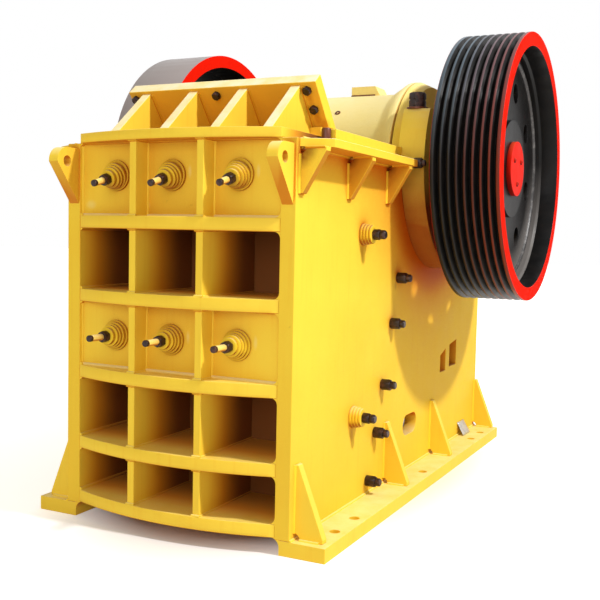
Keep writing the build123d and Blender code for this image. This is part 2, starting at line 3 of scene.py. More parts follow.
import bpy
import numpy as np
from mathutils import Matrix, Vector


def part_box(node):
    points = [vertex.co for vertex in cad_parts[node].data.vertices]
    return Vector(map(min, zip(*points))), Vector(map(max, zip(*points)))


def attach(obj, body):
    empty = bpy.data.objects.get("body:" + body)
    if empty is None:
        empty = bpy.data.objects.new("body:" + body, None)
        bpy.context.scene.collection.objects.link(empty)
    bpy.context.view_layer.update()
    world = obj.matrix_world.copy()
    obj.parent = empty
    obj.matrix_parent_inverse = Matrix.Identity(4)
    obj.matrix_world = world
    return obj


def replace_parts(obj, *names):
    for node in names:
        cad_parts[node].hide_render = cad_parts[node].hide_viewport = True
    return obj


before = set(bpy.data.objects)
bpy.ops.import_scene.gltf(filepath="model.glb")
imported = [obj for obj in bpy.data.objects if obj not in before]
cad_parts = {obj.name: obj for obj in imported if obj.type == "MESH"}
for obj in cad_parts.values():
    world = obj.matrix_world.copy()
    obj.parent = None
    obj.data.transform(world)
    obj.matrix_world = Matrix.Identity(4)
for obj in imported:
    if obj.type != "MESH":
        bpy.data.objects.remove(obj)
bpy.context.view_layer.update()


# Base flanges, side plates, shelves, gussets and lugs
# Flame cut steel plate, welded together and sprayed with a glossy yellow machine enamel. A painted
# shade turns the coat orange in corners, on faces that look down and deep in the cells; level faces hold
# pale dust that also paints their highlight, and rust runs below the bolts also paint their shadows.

def linear(code):
    """A colour written as sRGB hex, made linear: c/12.92 to 0.04045, above that ((c + 0.055)/1.055)^2.4."""
    c = np.array([int(code[i:i + 2], 16) for i in (1, 3, 5)]) / 255
    return (*np.where(c <= 0.04045, c / 12.92, ((c + 0.055) / 1.055) ** 2.4).tolist(), 1.0)


def feed(tree, node, links):
    """Links into a node's inputs. A node given as a source stands for its first output that is in use."""
    for key, source in links.items():
        if isinstance(source, bpy.types.Node):
            source = next(socket for socket in source.outputs if socket.enabled)
        tree.links.new(source, node.inputs[key])


def add(tree, kind, values=None, links=None, **settings):
    """One shader node, its kind without the leading ShaderNode: settings are its properties, values its
    inputs, and links what feeds them."""
    made = tree.nodes.new("ShaderNode" + kind)
    for key, value in settings.items():
        setattr(made, key, value)
    for key, value in (values or {}).items():
        made.inputs[key].default_value = value
    feed(tree, made, links or {})
    return made


def blank(name, sheen=0.5):
    """A new material, its node tree, its shader with sheen as specular level, and the shaded place."""
    made = bpy.data.materials.new(name)
    made.use_nodes = True
    tree = made.node_tree
    shader = tree.nodes["Principled BSDF"]
    shader.inputs["Specular IOR Level"].default_value = sheen
    return made, tree, shader, add(tree, "TexCoord").outputs["Object"]


def blots(tree, spots, both_sides):
    """How deep a point lies in the nearest of some soft ellipsoids, 1 at a centre and 0 outside.

    A spot is (centre, half axes) in metres. With both_sides the point's X loses its sign first.
    """
    folded = add(tree, "TexCoord").outputs["Object"]
    if both_sides:
        xyz = add(tree, "SeparateXYZ", links={"Vector": folded}).outputs
        out = add(tree, "Math", links={0: xyz["X"]}, operation="ABSOLUTE")
        folded = add(tree, "CombineXYZ", links={"X": out, "Y": xyz["Y"], "Z": xyz["Z"]})
    deepest = None
    for centre, half in spots:
        moved = add(tree, "Mapping", {"Location": [-c / h for c, h in zip(centre, half)],
                                      "Scale": [1 / h for h in half]}, {"Vector": folded})
        ball = add(tree, "TexGradient", links={"Vector": moved}, gradient_type="SPHERICAL").outputs["Fac"]
        deepest = add(tree, "Math", links={0: deepest, 1: ball}, operation="MAXIMUM") if deepest else ball
    return deepest


def enamel(name, coat, shade, dust, deep="#CC7410", roughness=0.46, peel_mm=5.0, pit_mm=0.0, cell=False,
           rust=0.25, stains=(), stain_colour="#9A4A10", stain_most=0.6, both_sides=True, recess=0.6,
           settle=1.3, sheen=0.14, reach=0.5, shade_from=0.2, shade_to=1.4, shade_end=None):
    """Sprayed machine enamel on steel, with an orange peel that breaks up its highlights.

    The colour is coat, drawn in turn towards shade by a noise 0.5 m wide and by runs 25 mm wide and 0.6 m
    long; towards dust, as far as settle, where the face looks up, which also paints a highlight on tops;
    towards deep, a painted shade, on faces that look down and, as far as recess, where walls nearer than
    reach close a point in, fully at the height shade_to, less at shade_from and not above shade_end; towards
    rust brown where two noises both peak; and towards stain_colour in the stains. With cell, paint between
    the side plates' inner faces also darkens with depth behind the front edge, to orange and then to brown,
    less on faces that look up: a painted shade of the deep cells, standing also for thin spray and primer.
    The peel is peel_mm wide, coarser than the real 2 mm so that it shows. A casting also has pits of pit_mm.
    """
    made, tree, shader, place = blank(name, sheen)
    xyz = add(tree, "SeparateXYZ", links={"Vector": place}).outputs
    normal = add(tree, "NewGeometry").outputs["Normal"]
    upward = add(tree, "SeparateXYZ", links={"Vector": normal}).outputs["Z"]
    broad = add(tree, "TexNoise", {"Scale": 2.0, "Detail": 4.0, "Roughness": 0.55}, {"Vector": place})
    broad = add(tree, "MapRange", {"From Min": 0.35, "From Max": 0.75, "To Max": 0.3}, {"Value": broad})
    runs = add(tree, "Mapping", {"Scale": (40.0, 40.0, 1.7)}, {"Vector": place})
    runs = add(tree, "TexNoise", {"Scale": 1.0, "Detail": 3.0}, {"Vector": runs})
    runs = add(tree, "MapRange", {"From Min": 0.55, "From Max": 0.8, "To Max": 0.2}, {"Value": runs})
    uneven = add(tree, "Math", links={0: broad, 1: runs}, operation="ADD", use_clamp=True)
    specks = add(tree, "TexNoise", {"Scale": 9.0, "Detail": 6.0, "Roughness": 0.65}, {"Vector": place})
    # Dust on faces that look up, which also paints a highlight on lit tops
    dust_and_highlight = add(tree, "MapRange", {"From Min": 0.3, "To Max": settle}, {"Value": upward})
    dust_and_highlight = add(tree, "Math", links={0: dust_and_highlight, 1: specks}, operation="MULTIPLY")
    # Painted shade: deep tints corners, recesses and faces that look down, where shade falls
    open_air = add(tree, "AmbientOcclusion", {"Distance": reach}, samples=6).outputs["AO"]
    painted_shade = add(tree, "MapRange", {"From Min": 0.88, "From Max": 0.22, "To Max": recess},
                    {"Value": open_air})
    high = add(tree, "MapRange", {"From Min": shade_from, "From Max": shade_to, "To Min": 0.15},
               {"Value": xyz["Z"]})
    limits = [high]
    if shade_end:
        limits.append(add(tree, "Math", {1: shade_end}, {0: xyz["Z"]}, operation="LESS_THAN"))
    if cell:
        sideways = add(tree, "Math", links={0: xyz["X"]}, operation="ABSOLUTE")
        outside, inner = (add(tree, "Math", {1: plate_in + 0.0005}, {0: sideways}, operation=test)
                          for test in ("GREATER_THAN", "LESS_THAN"))
        limits.append(outside)
    for limit in limits:
        painted_shade = add(tree, "Math", links={0: painted_shade, 1: limit}, operation="MULTIPLY")
    under = add(tree, "MapRange", {"From Min": -0.1, "From Max": -0.6, "To Max": 0.9}, {"Value": upward})
    painted_shade = add(tree, "Math", links={0: painted_shade, 1: under}, operation="MAXIMUM")
    spots = add(tree, "TexNoise", {"Scale": 23.0, "Detail": 5.0, "Roughness": 0.7}, {"Vector": place})
    spots = add(tree, "Math", links={0: spots, 1: specks}, operation="MULTIPLY")
    spots = add(tree, "MapRange", {"From Min": 0.405, "From Max": 0.48, "To Max": rust}, {"Value": spots})
    rust_brown, shade_orange, shade_and_primer_brown = "#7A3A12", "#EE961C", "#6E3C26"
    layers = [(dust, dust_and_highlight), (deep, painted_shade), (rust_brown, spots)]
    if stains:
        torn = add(tree, "Math", links={0: blots(tree, stains, both_sides), 1: specks}, operation="MULTIPLY")
        torn = add(tree, "MapRange", {"From Min": 0.06, "From Max": 0.40, "To Max": stain_most},
                   {"Value": torn})
        layers.append((stain_colour, torn))
    # Painted shade: orange, then brown, deeper into the cells, less on faces that look up
    if cell:
        cell_shade_orange = add(tree, "MapRange", {"From Min": front + 0.0125, "From Max": front + 0.1625,
                                         "To Max": 0.72}, {"Value": xyz["Y"]})
        cell_shade_orange = add(tree, "Math", links={0: cell_shade_orange, 1: inner}, operation="MULTIPLY")
        bare = add(tree, "MapRange", {"From Min": front + 0.0525, "From Max": front + 0.3725, "To Max": 0.90},
                   {"Value": xyz["Y"]}, interpolation_type="SMOOTHSTEP")
        facing = add(tree, "MapRange", {"From Min": 0.2, "From Max": 0.9, "To Min": 1.0, "To Max": 0.55},
                     {"Value": upward})
        for limit in (inner, facing):
            bare = add(tree, "Math", links={0: bare, 1: limit}, operation="MULTIPLY")
        layers += [(shade_orange, cell_shade_orange), (shade_and_primer_brown, bare)]
    colour = add(tree, "Mix", {"A": linear(coat), "B": linear(shade)}, {"Factor": uneven}, data_type="RGBA")
    for tint, share in layers:
        colour = add(tree, "Mix", {"B": linear(tint)}, {"Factor": share, "A": colour}, data_type="RGBA")
    gloss = add(tree, "MapRange", {"To Min": roughness - 0.08, "To Max": roughness + 0.16}, {"Value": specks})
    peel = add(tree, "TexNoise", {"Scale": 1000 / peel_mm / 2, "Detail": 2.0}, {"Vector": place})
    bump = add(tree, "Bump", {"Strength": 0.22, "Distance": 0.0012}, {"Height": peel})
    if pit_mm:
        pits = add(tree, "TexNoise", {"Scale": 1000 / pit_mm / 2, "Detail": 5.0, "Roughness": 0.7},
                   {"Vector": place})
        bump = add(tree, "Bump", {"Strength": 0.5, "Distance": 0.004}, {"Height": pits, "Normal": bump})
    feed(tree, shader, {"Base Color": colour, "Roughness": gloss, "Normal": bump})
    return made


def grind(made, ground_mm, flat=True):
    """Doubled points are welded, on flat plate the lines inside its faces go, and sharp edges get a round."""
    weld = made.modifiers.new("weld", "WELD")
    weld.merge_threshold = 0.00002
    if flat:
        plain = made.modifiers.new("plain", "DECIMATE")
        plain.decimate_type = "DISSOLVE"
        plain.angle_limit = math.radians(1)
    bevel = made.modifiers.new("ground", "BEVEL")
    bevel.width = ground_mm / 1000
    bevel.segments = 2
    bevel.limit_method = "ANGLE"
    bevel.angle_limit = math.radians(35)
    bevel.harden_normals = True


def dress(names, material, ground_mm=3.0, flat=True):
    """CAD nodes take a material, and their sharp edges a ground round of ground_mm."""
    for name in names:
        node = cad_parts[name]
        node.data.materials.clear()
        node.data.materials.append(material)
        grind(node, ground_mm, flat)


def drilled(outline, centre, radius, low, high, seams=()):
    """A flat plate with one hole, from points (u, v) in its plane, between the levels low and high.

    Rays from the centre, at 48 angles and through the corners, cut the convex outline and the circle, which
    pairs their points. The outline's edges along a value of u in seams get no wall.
    """
    corners = np.array(outline, float)
    turn = np.linspace(0, 2 * np.pi, 48, endpoint=False)
    nxt = np.roll(corners, -1, axis=0)
    edge, start = nxt - corners, corners - centre
    ray = np.stack([np.cos(turn), np.sin(turn)], axis=1)
    (ray_u, ray_v), (edge_u, edge_v), (start_u, start_v) = ray.T[:, :, None], edge.T, start.T
    cross = ray_u * edge_v - ray_v * edge_u
    cross = np.where(np.abs(cross) < 1e-12, 1e-12, cross)
    far = (start_u * edge_v - start_v * edge_u) / cross
    share = (start_u * ray_v - start_v * ray_u) / cross
    far = np.where((share >= -1e-9) & (share <= 1 + 1e-9) & (far > 0), far, np.inf).min(axis=1)
    outer = np.concatenate([centre + ray * far[:, None], corners])
    order = np.argsort(np.arctan2(outer[:, 1] - centre[1], outer[:, 0] - centre[0]))
    outer = outer[order]
    apart = np.linalg.norm(outer - np.roll(outer, 1, axis=0), axis=1) > 1e-6
    outer = outer[apart]
    away = outer - centre
    inner = centre + radius * away / np.linalg.norm(away, axis=1)[:, None]
    loops = [np.column_stack([loop, np.full(len(loop), level)])
             for loop in (outer, inner) for level in (low, high)]
    count = len(outer)
    a = np.arange(count)
    b = (a + 1) % count
    walled = np.ones(count, bool)
    for seam in seams:
        on_seam = np.abs(outer[:, 0] - seam) < 1e-6
        walled &= ~(on_seam & on_seam[b])
    out_low, out_high, in_low, in_high = 0, count, 2 * count, 3 * count
    faces = [np.stack([out_high + a, out_high + b, in_high + b, in_high + a], axis=1),
             np.stack([out_low + b, out_low + a, in_low + a, in_low + b], axis=1),
             np.stack([out_low + a, out_low + b, out_high + b, out_high + a], axis=1)[walled],
             np.stack([in_low + b, in_low + a, in_high + a, in_high + b], axis=1)]
    return np.concatenate(loops), np.concatenate(faces).tolist()


def joined(shapes):
    """Several shapes as one: each one's face numbers move up by the points before it."""
    starts = np.cumsum([0] + [len(points) for points, _ in shapes])
    faces = [[i + int(start) for i in face] for start, (_, some) in zip(starts, shapes) for face in some]
    return np.concatenate([points for points, _ in shapes]), faces


def quads(rows, width, closed=False):
    """Faces between rows of width points, each row a loop. With closed the last row meets the first."""
    here = np.arange(rows - (not closed))[:, None] * width
    there = (here + width) % (rows * width)
    a = np.arange(width)[None, :]
    b = (a + 1) % width
    return np.stack([here + a, here + b, there + b, there + a], axis=-1).reshape(-1, 4)


def fillets(runs, leg, hollow=False, ripple=0.1, step=0.005):
    """Weld beads along straight inner corners. A run is (start, end, wall, wall), where a wall is the unit
    direction that it leaves the corner in.

    A section's point is corner + leg * (cos t * one wall + sin t * the other) for t from 0 to 90 degrees, or
    for a hollow fillet corner + leg * ((1 - sin t) * one wall + (1 - cos t) * the other). Every second one is
    larger by ripple, which gives the laid look, and a point just inside the corner closes each.
    """
    points, faces, count = [], [], 0
    t = np.linspace(0, np.pi / 2, 6 if hollow else 4)
    across = np.stack([1 - np.sin(t), 1 - np.cos(t)] if hollow else [np.cos(t), np.sin(t)])
    for start, end, one, other in runs:
        start, end, one, other = (np.array(v, float) for v in (start, end, one, other))
        length = np.linalg.norm(end - start)
        if np.dot(np.cross(one, other), end - start) < 0:
            one, other = other, one
        sections = max(2, int(length / step))
        along = start + np.linspace(0, 1, sections)[:, None] * (end - start)
        size = leg * (1 + ripple * (np.arange(sections) % 2))
        arc = size[:, None, None] * (across[0][:, None] * one + across[1][:, None] * other)[None]
        inside = np.broadcast_to(-0.2 * leg * (one + other), (sections, 1, 3))
        rings = np.concatenate([arc, inside], axis=1) + along[:, None, :]
        width = rings.shape[1]
        walls = quads(sections, width) + count
        points.append(rings.reshape(-1, 3))
        faces += [*walls.tolist(), list(range(count + width - 1, count - 1, -1)),
                  list(range(count + (sections - 1) * width, count + sections * width))]
        count += sections * width
    return np.concatenate(points), faces


def linked(name, data):
    """A new object in the scene."""
    made = bpy.data.objects.new(name, data)
    bpy.context.scene.collection.objects.link(made)
    return made


def piece(name, shape, material, body="frame", crease=40.0):
    """A mesh object from points and faces, smooth but for edges over crease degrees, riding on a CAD body."""
    mesh = bpy.data.meshes.new(name)
    mesh.from_pydata(shape[0].tolist(), [], shape[1])
    mesh.shade_smooth()
    mesh.set_sharp_from_angle(angle=math.radians(crease))
    mesh.materials.append(material)
    made = linked(name, mesh)
    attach(made, body)
    return made


def plate_pair(name, shape, columns, material, ground_mm):
    """A flat plate on each side in place of the CAD's. Columns says which of u, v and the level are x, y and
    z, and x changes its sign with the side. Where the two together mirror the plate, its faces turn round."""
    points, faces = shape
    for side, hand in hands:
        mirrored = side * np.linalg.det(np.eye(3)[columns]) < 0
        made = piece(f"{name}_plate_{hand}", (points[:, columns] * (side, 1, 1),
                                              [face[::-1] if mirrored else face for face in faces]), material)
        grind(made, ground_mm)
        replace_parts(made, f"{name}_{hand}")


front = -1.7325
plate_out, plate_in, base_top, shelf_under = 0.75, 0.66, 0.082, 2.154
cheek_bolts = [(1.495, 1.432), (1.395, 1.135), (1.260, 0.748), (1.152, 0.453), (1.041, 0.165)]
side_bolts = [(0.890, 1.714), (0.800, 0.615)]
# Rust runs below the bolts, which also paint the shadows that the bolts cast
bolt_runs_and_shadows = [((plate_out, front + depth - 0.034, height - 0.040), (0.02, 0.034, 0.060))
             for depth, height in cheek_bolts]
bolt_runs_and_shadows += [((plate_out, front + depth - 0.01, height - 0.105), (0.02, 0.040, 0.085))
              for depth, height in side_bolts]
# Dark brown painted shade round the notch holes of the shelf gussets
notch_shade = [((plate_out, front + depth, 2.142), (size, size, size))
              for depth, size in ((0.055, 0.130), (0.650, 0.085), (1.258, 0.085))]
yellow, orange_yellow, pale_dust = "#FDDB47", "#F0B62C", "#FDF2AC"
yellows = (yellow, orange_yellow, pale_dust)
# The plain coat has a soft gleam that the peel breaks up, and a painted shade of deep orange in corners
plate_enamel = enamel("yellow_enamel_on_plate", *yellows)
# On the side plates the coat is duller, with rust runs below the bolts that also paint their shadows, and a
# wide painted orange shade below the wheel and the shelf
side_enamel = enamel("yellow_enamel_on_side_plate", *yellows, cell=True, stains=bolt_runs_and_shadows + notch_shade,
                     recess=1.35, deep="#D0600E", reach=1.4, sheen=0.04, stain_most=0.4, shade_end=2.201)
# In the cells a painted shade turns the coat orange and then brown further in, standing also for thin spray
# and brown primer
cell_enamel = enamel("yellow_enamel_with_painted_cell_shade", *yellows, cell=True, recess=0.35, settle=0.5)
# The shelves' tops are nearly cream: dust, and a painted highlight of the light on them
shelf_enamel = enamel("dusty_yellow_enamel", yellow, orange_yellow, "#FEF8DC", settle=2.0, recess=0.35,
                      deep="#C87418", sheen=0.06)
# Under them the coat is dull, with a painted shade from the shelf and a dark brown painted shade round the
# gussets' notches
gusset_enamel = enamel("yellow_enamel_in_shelf_shade", *yellows, stains=notch_shade, stain_colour="#6E3010",
                       stain_most=0.95, recess=0.9, deep="#B85E10", sheen=0.06)
hands = ((1, "right"), (-1, "left"))
for made_of, coat, ground_mm in (("base_gussets", plate_enamel, 3.5), ("side_shelf", shelf_enamel, 3.5),
                                 ("shelf_gussets", gusset_enamel, 3.5), ("side_plate", side_enamel, 4.0)):
    dress([f"{made_of}_{name}" for _, name in hands], coat, ground_mm)

# The base flanges start 27 mm outside the side plates' inner faces, and each is drilled for five anchors.
# Here u runs along the machine and v across it. A dark brown painted shade lines the holes' walls.
anchors = np.array([0.280, 0.550, 1.7325, 2.915, 3.185]) + front
flange_in, flange_out, anchor_x, anchor_r = 0.687, 0.960, 0.886, 0.030
seams = [float(v) for v in (anchors[1:] + anchors[:-1]) / 2]
edges = [front] + seams + [-front]
cells = [drilled([(near, flange_in), (far, flange_in), (far, flange_out), (near, flange_out)],
                 np.array((anchor, anchor_x)), anchor_r, 0.0, base_top, seams)
         for near, far, anchor in zip(edges[:-1], edges[1:], anchors)]
# Painted shade inside the anchor holes
hole_shade = [((anchor_x, float(anchor), 0.015), (0.036, 0.036, 0.062)) for anchor in anchors]
flange_enamel = enamel("yellow_enamel_on_base_flange", *yellows, stains=hole_shade, stain_colour="#5A3410",
                       stain_most=0.95)
plate_pair("base_flange", joined(cells), [1, 0, 2], flange_enamel, 3.5)

# The lifting lugs are 65 mm plates with an eye of 62 mm, welded on the side plates' 90 mm front edges
lug_eye, lug_round, lug_in, lug_thick = np.array((front - 0.098, 2.092)), 0.078, plate_in + 0.010, 0.065
nose = np.linspace(np.radians(90), np.radians(186), 17)
lug_outline = [(front, 1.855), (front, 2.170)]
lug_outline += [(lug_eye[0] + lug_round * math.cos(a), lug_eye[1] + lug_round * math.sin(a)) for a in nose]
lug = drilled(lug_outline, lug_eye, 0.031, lug_in, lug_in + lug_thick)
plate_pair("lifting_lug", lug, [2, 0, 1], plate_enamel, 3.0)

# The weld beads run round every foot of the plates. Enamel lies a little lighter on their ripples.
weld_coat = enamel("yellow_enamel_on_weld_bead", "#FDDC3A", "#F2C028", "#FDF0A8", peel_mm=3.0, recess=0.5)
side_welds = []
base_gussets = [(0.050, 0.100), (1.320, 1.370), (2.250, 2.300), (3.415, 3.465)]
shelf_gussets = [(0.030, 0.080), (0.640, 0.690), (1.248, 1.298)]
shelf_top, shelf_back = 2.2, front + 1.376
for out in (1, -1):
    wall = out * plate_out
    side_welds += [((wall, front, base_top), (wall, -front, base_top), (out, 0, 0), (0, 0, 1)),
                   ((wall, front + 0.05, shelf_under), (wall, shelf_back, shelf_under), (out, 0, 0),
                    (0, 0, -1)),
                   ((wall, front + 0.06, shelf_top), (wall, shelf_back, shelf_top), (out, 0, 0), (0, 0, 1))]
    for gussets, foot, rise, height in ((base_gussets, base_top, 1, 0.405),
                                        (shelf_gussets, shelf_under, -1, 0.24)):
        for near, far in gussets:
            for depth, facing in ((near, -1), (far, 1)):
                if 0.001 < depth < 3.464:
                    line = front + depth
                    side_welds.append(((wall, line, foot + rise * 0.036), (wall, line, foot + rise * height),
                                       (out, 0, 0), (0, facing, 0)))
                    side_welds.append(((wall + out * 0.036, line, foot), (wall + out * 0.150, line, foot),
                                       (0, facing, 0), (0, 0, rise)))
piece("side_weld_beads", fillets(side_welds, 0.010), weld_coat)


# Front wall: five bowed ribs, the top flange, dividers and bolt panels
# Plate of 72, 56 and 44 mm, set edge on and welded all round, so the front is a grid of open cells.
# The cells' corners at the right post are filled and ground hollow, and each divider stands in a thick weld.
rib_tops, rib_thick, wall_depth, panel_depth = [1.786, 1.360, 0.911, 0.490, 0.163], 0.072, 0.470, 0.025
divider, divider_half, divider_front = 0.22, 0.022, front - 0.0861
# Each row of cells has a top, a foot and, where True, a bolt panel 25 mm behind the front
rows = list(zip([shelf_top] + [top - rib_thick for top in rib_tops[:-1]], rib_tops,
                (True, False, True, False, False)))
panel = front + panel_depth
upper_bolts, lower_bolts = ([(x, height) for x in (-0.41, -0.03, 0.40)] for height in (2.014, 1.102))
chalk = [((x + 0.112, panel, z + 0.020), (0.016, 0.02, 0.050)) for x, z in upper_bolts[1:] + lower_bolts[1:]]
chalk += [((x - 0.19, panel, z - 0.165), (0.05, 0.02, 0.035)) for x, z in upper_bolts]
dress([f"front_rib_{n}" for n in range(1, 6)] + ["front_top_flange", "front_dividers", "front_wall_plate"],
      cell_enamel, 4.0)
# Pale smears of rubbed chalk show beside the bolts
panel_enamel = enamel("yellow_enamel_scratched_on_panel", *yellows, stains=chalk, stain_colour="#F8EAA0",
                      stain_most=0.35, both_sides=False)
dress(["bolt_panels"], panel_enamel, 3.0)
front_welds, foot_welds, hollow_corners, small_corners = [], [], [], []
for top, foot, has_panel in rows:
    back = panel if has_panel else front + wall_depth
    for edge, up in ((top, -1), (foot, 1)):
        for corners, inward in ((hollow_corners, -1), (small_corners, 1)):
            post = -inward * plate_in
            corners.append(((post, front + 0.003, edge), (post, back, edge), (inward, 0, 0), (0, 0, up)))
        for x in (-divider, divider):
            for facing in (-1, 1):
                wall = x + facing * divider_half
                front_welds.append(((wall, divider_front + 0.004, edge), (wall, back, edge),
                                    (facing, 0, 0), (0, 0, up)))
            foot_welds.append(((x - divider_half - 0.006, divider_front, edge),
                               (x + divider_half + 0.006, divider_front, edge), (0, -1, 0), (0, 0, up)))
    if has_panel:
        for left, right in ((-plate_in, -divider - divider_half),
                            (-divider + divider_half, divider - divider_half),
                            (divider + divider_half, plate_in)):
            for edge, up in ((top, -1), (foot, 1)):
                front_welds.append(((left, back, edge), (right, back, edge), (0, -1, 0), (0, 0, up)))
            for wall, inward in ((left, 1), (right, -1)):
                front_welds.append(((wall, back, foot), (wall, back, top), (inward, 0, 0), (0, -1, 0)))
toe = [((side * flange_in, front + 0.002, 0.091), (side * flange_in, front + wall_depth, 0.091),
        (-side, 0, 0), (0, 0, -1)) for side, _ in hands]
piece("post_foot_fillets", fillets(toe, 0.050, hollow=True, ripple=0.0, step=0.05), plate_enamel)
ledges = [run for run in front_welds if run[3] == (0, 0, 1) and run[2] == (0, -1, 0)]
# The ledge under each panel catches dust, so its weld is paler
ledge_coat = enamel("pale_enamel_on_ledge_weld", "#FBE48A", "#F0CC50", "#FDF4CC", peel_mm=3.0, recess=0.2)
piece("panel_foot_welds", fillets(ledges, 0.013), ledge_coat)
front_welds = [run for run in front_welds if run not in ledges]
piece("front_weld_beads", fillets(front_welds, 0.007), cell_enamel)
piece("divider_foot_welds", fillets(foot_welds, 0.009, ripple=0.15, step=0.008), weld_coat)
piece("cell_corner_fillets", fillets(hollow_corners, 0.036, hollow=True, ripple=0.0, step=0.05), cell_enamel)
piece("cell_corner_beads", fillets(small_corners, 0.014), cell_enamel)


# Spring bolts in the bolt panels and in the side plates
# Each holds a jaw wedge from inside: a stack of yellow disc springs, a black nut and a long threaded end.

def ringed(heights, radii, flats=0.0, sides=48):
    """A turned solid about z, as points and faces: ring k stands at heights[k] with radius radii[k].

    Each ring is cut back to a hexagon where flats, the distance across it, gives less. The end rings close to
    a point on the axis.
    """
    angle = np.arange(sides) * 2 * np.pi / sides
    radius = np.repeat(np.asarray(radii, float)[:, None], sides, axis=1)
    if flats:
        hexagon = flats / 2 / np.cos((angle + np.pi / 6) % (np.pi / 3) - np.pi / 6)
        radius = np.minimum(radius, hexagon[None, :])
    height = np.repeat(np.asarray(heights, float)[:, None], sides, axis=1)
    body = np.stack([radius * np.cos(angle), radius * np.sin(angle), height], axis=-1).reshape(-1, 3)
    ends = np.array([[0, 0, heights[0]], [0, 0, heights[-1]]], float)
    walls = quads(len(heights), sides)
    last, low = (len(heights) - 1) * sides, len(body)
    a = np.arange(sides)
    b = (a + 1) % sides
    foot = np.stack([np.full(sides, low), b, a], axis=-1)
    head = np.stack([np.full(sides, low + 1), last + a, last + b], axis=-1)
    return np.concatenate([body, ends]), [*walls.tolist(), *foot.tolist(), *head.tolist()]


def copies(*sets):
    """Solids at many stands, in sets (shape, stands). A stand is (origin, axis): local z turns to the axis,
    local x to the cross product of world Z with the axis, or of world Y where the axis is nearly upright."""
    placed = []
    for (points, faces), stands in sets:
        for origin, axis in stands:
            z = np.array(axis, float) / np.linalg.norm(axis)
            x = np.cross((0, 0, 1.0) if abs(z[2]) < 0.9 else (0, 1.0, 0), z)
            x /= np.linalg.norm(x)
            placed.append((points @ np.stack([x, np.cross(z, x), z]) + np.array(origin, float), faces))
    return joined(placed)


def turned(bands, edge, sides=48):
    """A stepped turning about z: each band (from, to, radius) gets its rims rounded by edge."""
    z, r = [], []
    for low, high, radius in bands:
        z += [low, low + edge * 0.3, low + edge, high - edge, high - edge * 0.3, high]
        r += [radius - edge, radius - edge * 0.3, radius, radius, radius - edge * 0.3, radius - edge]
    return ringed(z, r, sides=sides)


def on_sides(places, wall):
    """Stands that face out of both side plates, as far out as wall, at places (depth, height)."""
    return [((side * wall, front + depth, height), (side, 0, 0))
            for side, _ in hands for depth, height in places]


def black_oxide(name, tint="#261714", bloom_colour="#6E4434", metallic=0.35):
    """Oxide on bare steel: the tint with a soft sheen, a brown bloom 20 mm wide and fine grain."""
    made, tree, shader, place = blank(name)
    bloom = add(tree, "TexNoise", {"Scale": 25.0, "Detail": 5.0, "Roughness": 0.65}, {"Vector": place})
    worn = add(tree, "MapRange", {"From Min": 0.48, "From Max": 0.78, "To Max": 0.7}, {"Value": bloom})
    colour = add(tree, "Mix", {"A": linear(tint), "B": linear(bloom_colour)}, {"Factor": worn},
                 data_type="RGBA")
    shader.inputs["Metallic"].default_value = metallic
    gloss = add(tree, "MapRange", {"To Min": 0.28, "To Max": 0.58}, {"Value": bloom})
    bump = add(tree, "Bump", {"Strength": 0.3, "Distance": 0.001}, {"Height": bloom})
    feed(tree, shader, {"Base Color": colour, "Roughness": gloss, "Normal": bump})
    return made


# Between the discs a painted shade turns the enamel orange brown, which draws a dark line round each, and
# rust specks are denser
spring_enamel = enamel("yellow_enamel_on_disc_springs", "#FBD636", "#E6A420", pale_dust, peel_mm=3.0,
                       rust=0.5, recess=0.9, deep="#9A4A12")
# The nuts and the bare ends of the bolts are nearly black, with a faint brown bloom
black_nut = black_oxide("black_oxide_steel")
tilt = math.radians(15)
upper_stands = [((x, panel, z), (0, -math.cos(tilt), -math.sin(tilt))) for x, z in upper_bolts]
lower_stands = [((x, panel, z), (0, -1, 0)) for x, z in lower_bolts]
front_stands = upper_stands + lower_stands
side_stands = on_sides(side_bolts, plate_out)
washers = [(origin, (0, -1, 0)) for origin, _ in front_stands]
washer = turned([(0.0, 0.016, 0.087)], 0.003, 64)
stack = turned([(0.012, 0.034, 0.077), (0.036, 0.052, 0.068), (0.054, 0.070, 0.061), (0.072, 0.093, 0.048)],
               0.003, 64)
side_stack = turned([(0.0, 0.016, 0.066), (0.019, 0.034, 0.063), (0.037, 0.052, 0.060),
                     (0.055, 0.070, 0.055)], 0.003, 64)
discs = copies((washer, washers), (stack, front_stands), (side_stack, side_stands))
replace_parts(piece("spring_bolt_discs", discs, spring_enamel), "front_spring_bolts_upper",
            "front_spring_bolts_lower", "side_spring_bolts")
nut = ringed([0.091, 0.095, 0.131, 0.136], [0.029, 0.0325, 0.0325, 0.0285], flats=0.058)
side_nut = ringed([0.068, 0.072, 0.110, 0.114], [0.029, 0.0325, 0.0325, 0.0285], flats=0.058)
lock_nut = ringed([0.112, 0.116, 0.142, 0.150], [0.024, 0.0275, 0.0275, 0.0200], flats=0.050)
nuts = copies((nut, front_stands), (side_nut, side_stands), (lock_nut, side_stands))
piece("spring_bolt_nuts", nuts, black_nut)
# Sprayed over with the springs, the shanks are a paler yellow
thread_enamel = enamel("yellow_enamel_on_thread", "#FBE27A", "#EDB92A", "#FCF0B0", peel_mm=3.0)
shanks = copies(*((turned([(0.130, end, 0.0180)], 0.002, 32), stands)
                  for end, stands in ((0.200, upper_stands), (0.226, lower_stands))))
piece("spring_bolt_shanks", shanks, thread_enamel)
tips = copies(*((turned([(start, end, 0.0185)], 0.003, 32), stands)
                for start, end, stands in ((0.194, 0.217, upper_stands), (0.220, 0.243, lower_stands))))
piece("spring_bolt_tips", tips, black_nut)


